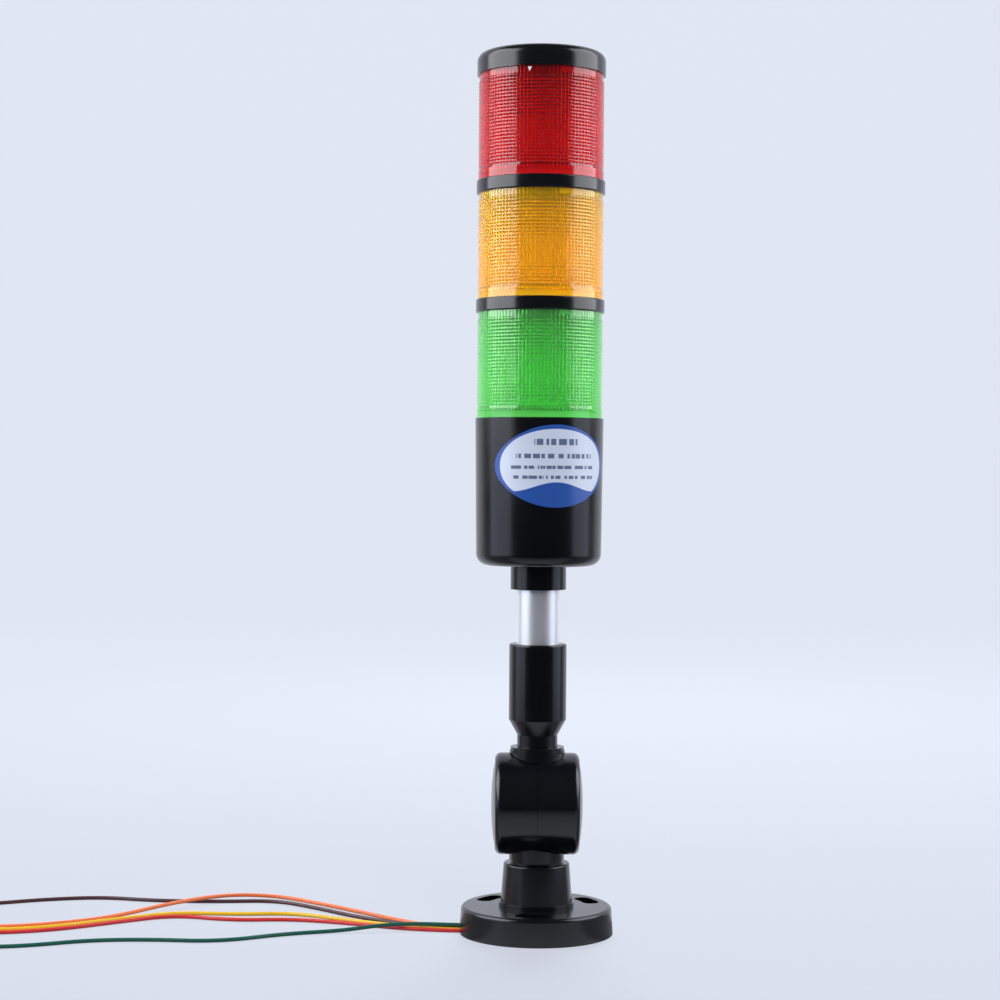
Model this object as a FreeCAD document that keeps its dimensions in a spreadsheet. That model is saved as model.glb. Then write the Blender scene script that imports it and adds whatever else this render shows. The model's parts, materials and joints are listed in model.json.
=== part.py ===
# Stack light with three signal tiers on a folding knuckle foot, pole type.
# Millimetres, +Z up, +X to the viewer's right. Origin: centre of the flange's underside.
import FreeCAD, Part
import math
import os
import Sketcher
from FreeCAD import Placement, Rotation, Vector

doc = FreeCAD.newDocument("stack_light")
sheet = doc.addObject("Spreadsheet::Sheet", "Sizes")

# Driving dimensions. Heights ending in _level are measured from the floor.
sizes = [
    # Foot: flange, bead, cone
    ("flange_diameter", 60.4),
    ("flange_top_diameter", 59.2),
    ("flange_height", 10.8),
    ("flange_edge_radius", 1.5),
    ("flange_wall", 2.8),
    ("flange_roof", 3.0),
    ("bead_diameter", 29.6),
    ("bead_height", 1.6),
    ("cone_bottom_diameter", 28.2),
    ("cone_top_diameter", 25.9),
    ("cone_top_level", 27.8),
    ("cone_cavity_diameter", 22.6),
    ("cone_edge_radius", 0.8),
    ("spigot_seat_depth", 3.8),
    ("ledge_thickness", 4.0),
    # Foot: screw pockets and cable notch
    ("screw_circle", 45.0),
    ("screw_count", 3),
    ("screw_hole", 5.0),
    ("screw_phase", -95.0),
    ("pocket_width", 6.5),
    ("pocket_angle", 34.0),
    ("pocket_corner_radius", 3.0),
    ("pocket_floor", 4.8),
    ("pocket_wall", 1.6),
    ("notch_width", 10.0),
    ("notch_height", 3.8),
    ("notch_offset", 0.0),
    # Knuckle: two half barrels on one bolt
    ("hinge_level", 50.9),
    ("barrel_diameter", 39.8),
    ("barrel_half_width", 16.6),
    ("barrel_edge_radius", 2.5),
    ("barrel_wall", 2.6),
    ("seam_gap", 0.4),
    ("rim_gap", 0.12),
    ("rim_lip", 1.2),
    ("web_thickness", 3.0),
    ("bolt_boss_diameter", 14.0),
    ("bolt_boss_reach", 7.0),
    ("bolt_diameter", 6.0),
    ("bolt_play", 0.1),
    ("bolt_head_height", 4.0),
    ("bolt_hex", 10.0),
    ("washer_diameter", 12.0),
    ("washer_thickness", 1.2),
    ("spring_washer_diameter", 10.4),
    ("spring_washer_thickness", 1.4),
    ("nut_height", 4.6),
    ("bolt_tip", 0.3),
    ("friction_washer_diameter", 15.6),
    ("friction_washer_play", 0.02),
    ("lead_slot_inner", 8.4),
    ("lead_slot_outer", 14.6),
    ("lead_slot_angle", 200.0),
    ("lead_hole_angle", 50.0),
    ("hub_cap_diameter", 32.4),
    ("hub_cap_depth", 2.0),
    ("hub_cap_dome", 1.4),
    ("dome_shoulder", 0.45),
    ("dome_bend", 0.85),
    ("hub_cap_wall", 1.6),
    ("cap_fit", 0.1),
    # Lower half: collar, spigot and threaded stem
    ("lower_collar_diameter", 21.7),
    ("lower_collar_level", 28.9),
    ("spigot_diameter", 20.0),
    ("spigot_fit", 0.1),
    ("stem_diameter", 14.0),
    ("stem_play", 0.2),
    ("stem_end_level", 12.4),
    ("stem_nut_hex", 19.0),
    ("stem_nut_height", 5.0),
    ("lead_bore", 9.0),
    ("collar_gap", 0.35),
    # Upper half: collar, neck and tube socket
    ("upper_collar_diameter", 21.8),
    ("upper_collar_level", 73.4),
    ("collar_rim_height", 1.4),
    ("collar_rim_step", 0.35),
    ("neck_diameter", 15.9),
    ("neck_level", 78.1),
    ("socket_cone_level", 84.2),
    ("socket_diameter", 22.6),
    ("socket_level", 114.0),
    ("socket_edge_radius", 0.8),
    ("set_screw_diameter", 4.0),
    ("set_screw_drop", 6.0),
    ("set_screw_hex", 2.0),
    # Pole
    ("tube_diameter", 17.0),
    ("tube_wall", 1.2),
    ("tube_seat_level", 88.0),
    ("tube_end_level", 150.0),
    ("tube_fit", 0.1),
    # Housing
    ("housing_collar_diameter", 21.9),
    ("housing_collar_level", 135.4),
    ("housing_level", 144.8),
    ("housing_taper", 1.3),
    ("housing_top_diameter", 50.4),
    ("housing_corner_radius", 4.7),
    ("housing_top_level", 202.5),
    ("housing_wall", 3.0),
    ("housing_floor", 2.5),
    ("tube_stop", 1.6),
    ("post_inset", 3.0),
    ("post_diameter", 7.0),
    ("post_phase", 30.0),
    ("post_count", 3),
    ("board_level", 178.0),
    ("board_thickness", 1.6),
    ("control_board_play", 0.4),
    ("board_screw_diameter", 2.6),
    ("board_screw_head", 5.2),
    ("board_screw_head_height", 1.7),
    ("board_screw_length", 8.0),
    ("buzzer_diameter", 24.0),
    ("buzzer_height", 9.5),
    ("buzzer_hole", 3.0),
    ("top_plate_thickness", 2.0),
    ("label_level", 183.8),
    ("label_height", 31.8),
    ("label_arc", 51.0),
    ("label_azimuth", -75.5),
    ("label_thickness", 0.2),
    ("label_glue", 0.05),
    # Bayonet between tiers, measured down from each mouth
    ("mouth_wall", 2.2),
    ("mouth_depth", 4.1),
    ("foot_play", 0.4),
    ("foot_wall", 1.8),
    ("foot_length", 3.8),
    ("lug_count", 3),
    ("lug_reach", 1.1),
    ("lug_root", 0.4),
    ("lug_height", 1.6),
    ("lug_lift", 0.3),
    ("lug_angle", 20.0),
    ("lug_phase", -60.0),
    ("lug_play", 0.3),
    ("lug_angle_play", 1.2),
    ("twist_angle", 25.0),
    ("cut_margin", 0.5),
    ("seal_height", 1.0),
    ("seal_depth", 0.7),
    ("seal_swell", 0.2),
    ("seal_drop", 0.4),
    # Lens
    ("lens_length", 41.3),
    ("lens_step", 1.2),
    ("lens_wall", 1.8),
    ("rib_pitch", 2.65),
    ("rib_width", 2.3),
    ("rib_height", 0.65),
    ("rib_root", 0.05),
    ("rib_start", 5.0),
    ("rib_end", 2.2),
    ("flute_count", 48),
    ("flute_depth", 0.6),
    ("flute_share", 0.9),
    ("band_height", 2.6),
    ("hook_reach", 0.9),
    ("hook_height", 1.8),
    ("hook_angle", 25.0),
    # Rings between tiers and the cap, with the spigot that locks into a lens
    ("ring_step", 0.05),
    ("ring_height", 5.2),
    ("ring_spigot_play", 1.2),
    ("ring_spigot_wall", 1.5),
    ("ring_spigot_length", 5.0),
    ("ring_floor", 1.8),
    ("ring_edge_radius", 0.5),
    ("hook_gap", 0.3),
    ("lock_lug_reach", 1.0),
    ("lock_lug_height", 2.0),
    ("cap_height", 9.2),
    ("cap_crown", 0.6),
    ("cap_corner_radius", 3.6),
    ("cap_wall", 2.2),
    ("cap_seal_step", 1.2),
    ("cap_seal_width", 0.8),
    ("cap_seal_height", 1.0),
    ("cap_twist", 30.0),
    # Boards, diodes and contacts in each tier
    ("contact_board_play", 0.5),
    ("contact_board_thickness", 1.0),
    ("carrier_play", 0.2),
    ("carrier_drop", 1.2),
    ("carrier_floor", 2.0),
    ("tab_count", 6),
    ("tab_angle", 26.0),
    ("tab_phase", -105.0),
    ("tab_height", 2.3),
    ("tab_thickness", 2.2),
    ("led_board_width", 24.0),
    ("led_board_gap", 0.5),
    ("led_board_seat", 1.2),
    ("board_socket_width", 28.0),
    ("board_socket_depth", 5.2),
    ("board_socket_height", 3.2),
    ("led_size", 5.0),
    ("led_height", 1.5),
    ("led_rows", 3),
    ("led_column_offset", 6.0),
    ("led_first_level", 12.0),
    ("led_last_drop", 5.8),
    ("pin_count", 5),
    ("pin_diameter", 1.5),
    ("pin_inset", 2.4),
    ("pin_angle", 9.0),
    ("pin_clear", 0.1),
    ("pin_rise", 1.0),
    ("pin_azimuth", -93.0),
    # Leads and the coil that each ends in
    ("lead_diameter", 1.6),
    ("coil_diameter", 17.6),
    ("coil_width", 5.0),
    ("coil_height", 3.4),
    ("tie_width", 2.5),
    ("tie_thickness", 0.4),
    ("tie_play", 0.2),
]
for row, (alias, value) in enumerate(sizes, start=1):
    sheet.set(f"A{row}", alias.replace("_", " "))
    sheet.set(f"B{row}", str(value))
    sheet.setAlias(f"B{row}", alias)
doc.recompute()

# Diameters of the tower, from the housing's top and each wall, step or clearance
tower = "@housing_top_diameter"
housingBottom = f"({tower}-@housing_taper)"
housingBore = f"({tower}-@housing_wall*2)"
mouth = f"({tower}-@mouth_wall*2)"
foot = f"({mouth}-@foot_play*2)"
footBore = f"({foot}-@foot_wall*2)"
lensRoot = f"({tower}-@lens_step*2)"
lensBore = f"({lensRoot}-@lens_wall*2)"
ringOutside = f"({tower}+@ring_step*2)"
spigot = f"({lensBore}-@ring_spigot_play*2)"
spigotBore = f"({spigot}-@ring_spigot_wall*2)"
sealInside = f"({lensRoot}-@cap_seal_step*2)"
sealOutside = f"({sealInside}+@cap_seal_width*2)"
carrier = f"({footBore}-@carrier_play*2)"
postCircle = f"({housingBore}-@post_inset*2)"

# As many ribs as the lens has room for
ribRoom = "(@lens_length-@rib_start-@rib_width-@rib_end+@rib_root)"
ribCount = f"(floor({ribRoom}/@rib_pitch)+1)"
ledBoardTop = "(@lens_length-@ring_spigot_length-@led_board_gap)"

X = Vector(1, 0, 0)
Y = Vector(0, 1, 0)
Z = Vector(0, 0, 1)
subParts = []


def size(expression):
    """Value of an expression of the sheet, in millimetres or degrees."""
    return float(sheet.evalExpression(named(expression)))


def named(expression):
    """Write @name for a cell of the sheet."""
    return str(expression).replace("@", "Sizes.")


def bind(thing, **values):
    """Bind properties to the sheet; a double underscore stands for a dot."""
    for key, expression in values.items():
        thing.setExpression(key.replace("__", "."), named(expression))
    return thing


def put(thing, x="0", y="0", z="0"):
    return bind(thing, Placement__Base__x=x, Placement__Base__y=y, Placement__Base__z=z)


def node(thing, label):
    """Register a finished sub-part under the name of its file."""
    thing.Label = label
    subParts.append(thing)
    return thing


def origin(body, role):
    return [o for o in body.Origin.OriginFeatures if o.Role == role][0]


def newBody(name, x="0", y="0", z="0"):
    return put(doc.addObject("PartDesign::Body", name), x, y, z)


def outline(body, points, plane="XZ_Plane", azimuth=None):
    """Closed sketch whose corners are bound to the sheet."""
    sketch = body.newObject("Sketcher::SketchObject", "Outline")
    sketch.AttachmentSupport = [(origin(body, plane), "")]
    sketch.MapMode = "FlatFace"
    if azimuth is not None:
        turn = f"placement(vector(0; 0; 0); rotation(vector(0; 1; 0); {named(azimuth)}))"
        sketch.setExpression("AttachmentOffset", turn)
    corners = [(size(u), size(v)) for u, v in points]
    for i, (u, v) in enumerate(corners):
        following = corners[(i + 1) % len(corners)]
        sketch.addGeometry(Part.LineSegment(Vector(u, v, 0), Vector(following[0], following[1], 0)))
    for i in range(len(corners)):
        sketch.addConstraint(Sketcher.Constraint("Coincident", i, 2, (i + 1) % len(corners), 1))
    for i, point in enumerate(points):
        for kind, expression, value in zip(("DistanceX", "DistanceY"), point, corners[i]):
            number = sketch.addConstraint(Sketcher.Constraint(kind, -1, 1, i, 1, value))
            sketch.setExpression(f"Constraints[{number}]", named(expression))
    return sketch


def finish(body, feature):
    body.Tip = feature
    doc.recompute()
    return feature


def turned(body, points, axis="V_Axis", angle=None, azimuth=None, cut=False):
    """Revolve a closed outline about an axis of its sketch, added or cut away."""
    sketch = outline(body, points, azimuth=azimuth)
    feature = body.newObject("PartDesign::Groove" if cut else "PartDesign::Revolution", "Turned")
    feature.Profile = sketch
    feature.ReferenceAxis = (sketch, [axis])
    feature.Angle = 360
    if angle is not None:
        feature.Midplane = True
        bind(feature, Angle=angle)
    return finish(body, feature)


def pocket(body, points, depth, plane="XY_Plane", reverse=False, lift=None, add=False):
    """Cut a closed outline from a plane of the body, or add it."""
    sketch = outline(body, points, plane)
    if lift is not None:
        bind(sketch, AttachmentOffset__Base__z=lift)
    feature = body.newObject("PartDesign::Pad" if add else "PartDesign::Pocket", "Prism")
    feature.Profile = sketch
    feature.Reversed = reverse
    bind(feature, Length=depth)
    return finish(body, feature)


def drilled(body, radius, depth, u="0", v="0", plane="XY_Plane", reverse=False):
    """Cut a round hole from a plane of the body."""
    sketch = body.newObject("Sketcher::SketchObject", "Hole")
    sketch.AttachmentSupport = [(origin(body, plane), "")]
    sketch.MapMode = "FlatFace"
    centre = Vector(size(u), size(v), 0)
    sketch.addGeometry(Part.Circle(centre, Vector(0, 0, 1), size(radius)))
    rules = [Sketcher.Constraint("DistanceX", -1, 1, 0, 3, centre.x),
             Sketcher.Constraint("DistanceY", -1, 1, 0, 3, centre.y),
             Sketcher.Constraint("Radius", 0, size(radius))]
    for rule, expression in zip(rules, (u, v, radius)):
        number = sketch.addConstraint(rule)
        sketch.setExpression(f"Constraints[{number}]", named(expression))
    feature = body.newObject("PartDesign::Pocket", "Pocket")
    feature.Profile = sketch
    feature.Reversed = reverse
    bind(feature, Length=depth)
    return finish(body, feature)


def around(body, feature, count):
    """Repeat a feature around the body's Z axis."""
    pattern = body.newObject("PartDesign::PolarPattern", "Around")
    pattern.Originals = [feature]
    pattern.Axis = (origin(body, "Z_Axis"), [""])
    pattern.Angle = 360
    bind(pattern, Occurrences=count)
    return finish(body, pattern)


def rounded(body, radius, wanted):
    """Fillet the edges of the body so far that a test picks."""
    base = body.Tip
    names = [f"Edge{i}" for i, edge in enumerate(base.Shape.Edges, start=1) if wanted(edge)]
    feature = body.newObject("PartDesign::Fillet", "Rounded")
    feature.Base = (base, names)
    bind(feature, Radius=radius)
    return finish(body, feature)


def ringEdge(radius, level, axis=Z):
    """Test for a circular edge about an axis of the body, at a radius and a level."""
    radius, level = size(radius), size(level)

    def wanted(edge):
        if not isinstance(edge.Curve, Part.Circle):
            return False
        centre = edge.Curve.Center
        return (abs(edge.Curve.Radius - radius) < 0.01 and abs(centre.dot(axis) - level) < 0.01
                and centre.cross(axis).Length < 0.01)
    return wanted


def cylinder(radius, height, x="0", y="0", z="0", direction=Z):
    thing = doc.addObject("Part::Cylinder", "Cylinder")
    bind(thing, Radius=radius, Height=height)
    thing.Placement = Placement(Vector(), Rotation(Z, direction))
    return put(thing, x, y, z)


def block(length, width, height, x, y, z):
    """Box centred on x and y, standing on z."""
    thing = doc.addObject("Part::Box", "Block")
    bind(thing, Length=length, Width=width, Height=height)
    return put(thing, f"({x})-({length})/2", f"({y})-({width})/2", z)


def prism(acrossFlats, height, x="0", y="0", z="0", direction=Z):
    thing = doc.addObject("Part::Prism", "Hexagon")
    thing.Polygon = 6
    bind(thing, Circumradius=f"({acrossFlats})/2/cos(30)", Height=height)
    thing.Placement = Placement(Vector(), Rotation(Z, direction))
    return put(thing, x, y, z)


def less(base, tool):
    thing = doc.addObject("Part::Cut", "Less")
    thing.Base = base
    thing.Tool = tool
    return thing


def joined(*shapes):
    thing = doc.addObject("Part::MultiFuse", "Joined")
    thing.Shapes = list(shapes)
    return thing


def group(*shapes):
    thing = doc.addObject("Part::Compound", "Group")
    thing.Links = list(shapes)
    return thing


def washer(outer, inner, height, x="0", y="0", z="0", direction=Z):
    return less(cylinder(f"({outer})/2", height, x, y, z, direction),
                cylinder(f"({inner})/2", height, x, y, z, direction))


# Foot: a moulded flange with a raised cone, three screw pockets and a cable notch
def footFlange():
    body = newBody("Foot")
    ledge = "(@cone_top_level-@spigot_seat_depth)"
    turned(body, [
        ("@flange_diameter/2-@flange_wall", "0"),
        ("@flange_diameter/2", "0"),
        ("@flange_top_diameter/2", "@flange_height"),
        ("@bead_diameter/2", "@flange_height"),
        ("@bead_diameter/2", "@flange_height+@bead_height"),
        ("@cone_bottom_diameter/2", "@flange_height+@bead_height"),
        ("@cone_top_diameter/2", "@cone_top_level"),
        ("@spigot_diameter/2+@spigot_fit", "@cone_top_level"),
        ("@spigot_diameter/2+@spigot_fit", ledge),
        ("@stem_diameter/2+@stem_play", ledge),
        ("@stem_diameter/2+@stem_play", ledge + "-@ledge_thickness"),
        ("@cone_cavity_diameter/2", ledge + "-@ledge_thickness"),
        ("@cone_cavity_diameter/2", "@flange_height-@flange_roof"),
        ("@flange_diameter/2-@flange_wall", "@flange_height-@flange_roof"),
    ])
    middle = "@screw_circle/2"
    inner = middle + "-@pocket_width/2"
    outer = middle + "+@pocket_width/2"
    roof = "@flange_height-@flange_roof/2"
    boss = turned(body, [
        (inner + "-@pocket_wall", "0"), ("@flange_diameter/2-@flange_wall/2", "0"),
        ("@flange_diameter/2-@flange_wall/2", roof), (inner + "-@pocket_wall", roof),
    ], angle=f"@pocket_angle+@pocket_wall*2/({middle})*180/pi", azimuth="@screw_phase")
    around(body, boss, "@screw_count")
    pit = turned(body, [
        (inner, "@pocket_floor"), (outer, "@pocket_floor"),
        (outer, "@flange_height+@cut_margin"), (inner, "@flange_height+@cut_margin"),
    ], angle="@pocket_angle", azimuth="@screw_phase", cut=True)
    around(body, pit, "@screw_count")
    # Square-ended pits become kidneys: their upright corners are rounded
    radii = (size(inner), size(outer))

    def pitCorner(edge):
        ends = [v.Point for v in edge.Vertexes]
        if len(ends) != 2 or not isinstance(edge.Curve, Part.Line):
            return False
        upright = abs(abs((ends[1] - ends[0]).z) - (ends[1] - ends[0]).Length) < 0.001
        reach = math.hypot(ends[0].x, ends[0].y)
        return (upright and min(abs(reach - r) for r in radii) < 0.01
                and max(p.z for p in ends) > size("@flange_height") - 0.01)
    rounded(body, "@pocket_corner_radius", pitCorner)
    hole = drilled(body, "@screw_hole/2", "@pocket_floor+@cut_margin", "@screw_circle/2*cos(@screw_phase)",
                   "@screw_circle/2*sin(@screw_phase)", reverse=True)
    around(body, hole, "@screw_count")
    pocket(body, [
        ("-@flange_diameter/2-@cut_margin", "@notch_offset-@notch_width/2"),
        ("-@flange_diameter/2+@flange_wall+@cut_margin", "@notch_offset-@notch_width/2"),
        ("-@flange_diameter/2+@flange_wall+@cut_margin", "@notch_offset+@notch_width/2"),
        ("-@flange_diameter/2-@cut_margin", "@notch_offset+@notch_width/2"),
    ], "@notch_height", reverse=True)
    rounded(body, "@flange_edge_radius", ringEdge("@flange_top_diameter/2", "@flange_height"))
    rounded(body, "@cone_edge_radius", ringEdge("@cone_top_diameter/2", "@cone_top_level"))
    return node(body, "base_flange")


# One half of the knuckle: an open drum with a web at the seam and a boss for the bolt.
# side is -1 for the half at -X and 1 for the other; stem is the turned outline that grows from it.
def knuckleHalf(label, side, stem, slotAngle):
    body = newBody(label, z="@hinge_level")
    turned(body, stem)
    seam = "@seam_gap/2"
    drum = "@barrel_diameter/2"
    inside = drum + "-@barrel_wall"
    lip = drum + "-@rim_lip"
    web = seam + "+@web_thickness"
    recess = "@barrel_half_width-@hub_cap_depth"
    # Room for the drum's own hollow, and for the other half to turn past the collar
    turned(body, [(f"-({side})*({seam})", "0"), (f"({side})*({drum})", "0"),
                  (f"({side})*({drum})", inside), (f"-({side})*({seam})", inside)],
           axis="H_Axis", cut=True)
    turned(body, [(f"({side})*({seam})", "0"), (f"-({side})*({drum})", "0"),
                  (f"-({side})*({drum})", drum + "+@collar_gap"),
                  (f"({side})*({seam})", drum + "+@collar_gap")],
           axis="H_Axis", cut=True)
    hole = "@bolt_diameter/2" if side < 0 else "@bolt_diameter/2+@bolt_play"
    half = [
        (seam, hole), ("@bolt_boss_reach", hole), ("@bolt_boss_reach", "@bolt_boss_diameter/2"),
        (web, "@bolt_boss_diameter/2"), (web, inside), (recess, inside),
        (recess, "@hub_cap_diameter/2+@cap_fit"),
        ("@barrel_half_width", "@hub_cap_diameter/2+@cap_fit"), ("@barrel_half_width", drum),
        ("@rim_gap/2", drum), ("@rim_gap/2", lip), (seam, lip),
    ]
    turned(body, [(f"({side})*({u})", v) for u, v in half], axis="H_Axis")
    # Leads cross the web beside the bolt and leave through the stem
    turned(body, [
        (f"({side})*({seam}-@cut_margin)", f"({side})*(@lead_slot_inner)"),
        (f"({side})*({web}+@cut_margin)", f"({side})*(@lead_slot_inner)"),
        (f"({side})*({web}+@cut_margin)", f"({side})*(@lead_slot_outer)"),
        (f"({side})*({seam}-@cut_margin)", f"({side})*(@lead_slot_outer)"),
    ], axis="H_Axis", angle=slotAngle, cut=True)
    throat = "@lead_bore/2"
    pocket(body, [
        (f"({side})*({web})", f"-({throat})"), (f"({side})*(@lead_bore)", f"-({throat})"),
        (f"({side})*(@lead_bore)", throat), (f"({side})*({web})", throat),
    ], drum, reverse=side > 0)
    rounded(body, "@barrel_edge_radius",
            ringEdge("@barrel_diameter/2", f"({side})*(@barrel_half_width)", X))
    return body


def lowerKnuckle():
    base = "@hinge_level"
    stem = [
        ("@lead_bore/2", f"@stem_end_level-{base}"), ("@stem_diameter/2", f"@stem_end_level-{base}"),
        ("@stem_diameter/2", f"@cone_top_level-@spigot_seat_depth-{base}"),
        ("@spigot_diameter/2", f"@cone_top_level-@spigot_seat_depth-{base}"),
        ("@spigot_diameter/2", f"@lower_collar_level-{base}"),
        ("@lower_collar_diameter/2", f"@lower_collar_level-{base}"),
        ("@lower_collar_diameter/2", "0"), ("@lead_bore/2", "0"),
    ]
    return node(knuckleHalf("lower_knuckle", -1, stem, "@lead_hole_angle"), "lower_knuckle")


def upperKnuckle():
    base = "@hinge_level"
    stem = [
        ("@lead_bore/2", "0"), ("@upper_collar_diameter/2", "0"),
        ("@upper_collar_diameter/2", f"@upper_collar_level-@collar_rim_height-{base}"),
        ("@upper_collar_diameter/2-@collar_rim_step", f"@upper_collar_level-@collar_rim_height-{base}"),
        ("@upper_collar_diameter/2-@collar_rim_step", f"@upper_collar_level-{base}"),
        ("@neck_diameter/2", f"@upper_collar_level-{base}"),
        ("@neck_diameter/2", f"@neck_level-{base}"),
        ("@socket_diameter/2", f"@socket_cone_level-{base}"),
        ("@socket_diameter/2", f"@socket_level-{base}"),
        ("@tube_diameter/2+@tube_fit", f"@socket_level-{base}"),
        ("@tube_diameter/2+@tube_fit", f"@tube_seat_level-{base}"),
        ("@lead_bore/2", f"@tube_seat_level-{base}"),
    ]
    body = knuckleHalf("upper_knuckle", 1, stem, "@lead_slot_angle")
    rounded(body, "@socket_edge_radius",
            ringEdge("@socket_diameter/2", f"@socket_level-{base}"))
    drilled(body, "@set_screw_diameter/2", "@socket_diameter", "0",
            f"@socket_level-@set_screw_drop-{base}", plane="XZ_Plane")
    return node(body, "upper_knuckle")


def hubCap(label, side):
    body = newBody(label, z="@hinge_level")
    rim = "@hub_cap_diameter/2"
    seat = "@barrel_half_width-@hub_cap_depth"
    crown = "@barrel_half_width+@hub_cap_dome"
    section = [
        (seat, rim + "-@hub_cap_wall"), (seat, rim), ("@barrel_half_width", rim),
        ("@barrel_half_width+@hub_cap_dome*@dome_shoulder", rim + "*0.8"),
        ("@barrel_half_width+@hub_cap_dome*@dome_bend", rim + "*0.45"), (crown, rim + "*0.15"), (crown, "0"),
        (crown + "-@hub_cap_wall", "0"), (crown + "-@hub_cap_wall", rim + "*0.15"),
        ("@barrel_half_width-@hub_cap_wall+@hub_cap_dome*@dome_shoulder", rim + "-@hub_cap_wall"),
    ]
    turned(body, [(f"({side})*({u})", v) for u, v in section], axis="H_Axis")
    return node(body, label)


def pivotHardware():
    head = "-@bolt_boss_reach-@bolt_head_height"
    pressed = "@bolt_boss_reach+@washer_thickness+@spring_washer_thickness"
    tip = "@nut_height+@bolt_tip"
    shank = cylinder("@bolt_diameter/2", f"@bolt_boss_reach*2+@washer_thickness+@spring_washer_thickness+{tip}",
                     x="-@bolt_boss_reach", z="@hinge_level", direction=X)
    bolt = joined(prism("@bolt_hex", "@bolt_head_height", x=head, z="@hinge_level", direction=X), shank)
    node(bolt, "pivot_bolt")
    node(washer("@washer_diameter", "@bolt_diameter", "@washer_thickness",
                x="@bolt_boss_reach", z="@hinge_level", direction=X), "pivot_washer")
    node(washer("@spring_washer_diameter", "@bolt_diameter", "@spring_washer_thickness",
                x="@bolt_boss_reach+@washer_thickness", z="@hinge_level", direction=X),
         "pivot_spring_washer")
    nut = less(prism("@bolt_hex", "@nut_height", x=pressed, z="@hinge_level", direction=X),
               cylinder("@bolt_diameter/2", "@nut_height", x=pressed, z="@hinge_level", direction=X))
    node(nut, "pivot_nut")
    node(washer("@friction_washer_diameter", "@bolt_diameter", "@seam_gap-@friction_washer_play",
                x="-@seam_gap/2", z="@hinge_level", direction=X), "friction_washer")


def stemNut():
    level = "@cone_top_level-@spigot_seat_depth-@ledge_thickness-@stem_nut_height"
    nut = less(prism("@stem_nut_hex", "@stem_nut_height", z=level),
               cylinder("@stem_diameter/2", "@stem_nut_height", z=level))
    return node(nut, "stem_nut")


# Slotless grub screw with a hexagon socket, pointing at the tube from the back
def setScrew(label, level, boss):
    start = "@tube_diameter/2"
    length = f"({boss})/2-@tube_diameter/2"
    screw = cylinder("@set_screw_diameter/2", length, y=start, z=level, direction=Y)
    socket = prism("@set_screw_hex", f"({length})/2", y=f"{start}+({length})/2", z=level, direction=Y)
    return node(less(screw, socket), label)


def poleTube():
    return node(washer("@tube_diameter", "@tube_diameter-@tube_wall*2", "@tube_end_level-@tube_seat_level",
                       z="@tube_seat_level"), "pole_tube")


# Mouth of a bayonet: a channel for each lug and an entry slot at the end of the twist
def bayonetMouth(body, level):
    reach = f"{foot}/2+@lug_reach+@lug_play"
    inner = f"{mouth}/2-@cut_margin"
    low = f"{level}-@foot_length+@lug_lift-@lug_play"
    high = f"{level}-@foot_length+@lug_lift+@lug_height+@lug_play"
    channel = turned(body, [(inner, low), (reach, low), (reach, high), (inner, high)],
                     angle="@lug_angle+@twist_angle+@lug_angle_play*2",
                     azimuth="@lug_phase+@twist_angle/2", cut=True)
    around(body, channel, "@lug_count")
    entry = turned(body, [(inner, low), (reach, low), (reach, f"{level}+@cut_margin"), (inner, f"{level}+@cut_margin")],
                   angle="@lug_angle+@lug_angle_play*2", azimuth="@lug_phase+@twist_angle", cut=True)
    around(body, entry, "@lug_count")


def housing():
    body = newBody("Housing", z="@housing_collar_level")
    base = "@housing_collar_level"
    floor = f"@housing_level+@housing_floor-{base}"
    stop = f"@tube_end_level-{base}"
    top = f"@housing_top_level-{base}"
    ledge = top + "-@mouth_depth-@top_plate_thickness"
    turned(body, [
        ("@tube_diameter/2+@tube_fit", "0"), ("@housing_collar_diameter/2", "0"),
        ("@housing_collar_diameter/2", f"@housing_level-{base}"),
        (f"{housingBottom}/2", f"@housing_level-{base}"),
        (f"{tower}/2", top), (f"{mouth}/2", top), (f"{mouth}/2", ledge),
        (f"{housingBore}/2", ledge), (f"{housingBore}/2", floor), ("@housing_collar_diameter/2", floor),
        ("@housing_collar_diameter/2", stop + "+@tube_stop"),
        ("@tube_diameter/2-@tube_wall", stop + "+@tube_stop"), ("@tube_diameter/2-@tube_wall", stop),
        ("@tube_diameter/2+@tube_fit", stop),
    ])
    # Three posts grow up the wall and carry the control board
    post = body.newObject("Sketcher::SketchObject", "Post")
    post.AttachmentSupport = [(origin(body, "XY_Plane"), "")]
    post.MapMode = "FlatFace"
    middle = (f"{postCircle}/2*cos(@post_phase)", f"{postCircle}/2*sin(@post_phase)")
    centre = Vector(size(middle[0]), size(middle[1]), 0)
    post.addGeometry(Part.Circle(centre, Z, size("@post_diameter/2")))
    rules = (Sketcher.Constraint("DistanceX", -1, 1, 0, 3, centre.x),
             Sketcher.Constraint("DistanceY", -1, 1, 0, 3, centre.y),
             Sketcher.Constraint("Radius", 0, size("@post_diameter/2")))
    for rule, expression in zip(rules, middle + ("@post_diameter/2",)):
        post.setExpression(f"Constraints[{post.addConstraint(rule)}]", named(expression))
    bind(post, AttachmentOffset__Base__z=f"@housing_level+@housing_floor/2-{base}")
    pad = body.newObject("PartDesign::Pad", "Posts")
    pad.Profile = post
    bind(pad, Length="@board_level-@housing_level-@housing_floor/2")
    finish(body, pad)
    around(body, pad, "@post_count")
    bayonetMouth(body, top)
    rounded(body, "@housing_corner_radius",
            ringEdge(f"{housingBottom}/2", f"@housing_level-{base}"))
    drilled(body, "@set_screw_diameter/2", "@housing_collar_diameter", "0",
            "@set_screw_drop", plane="XZ_Plane")
    return node(body, "housing")


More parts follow.
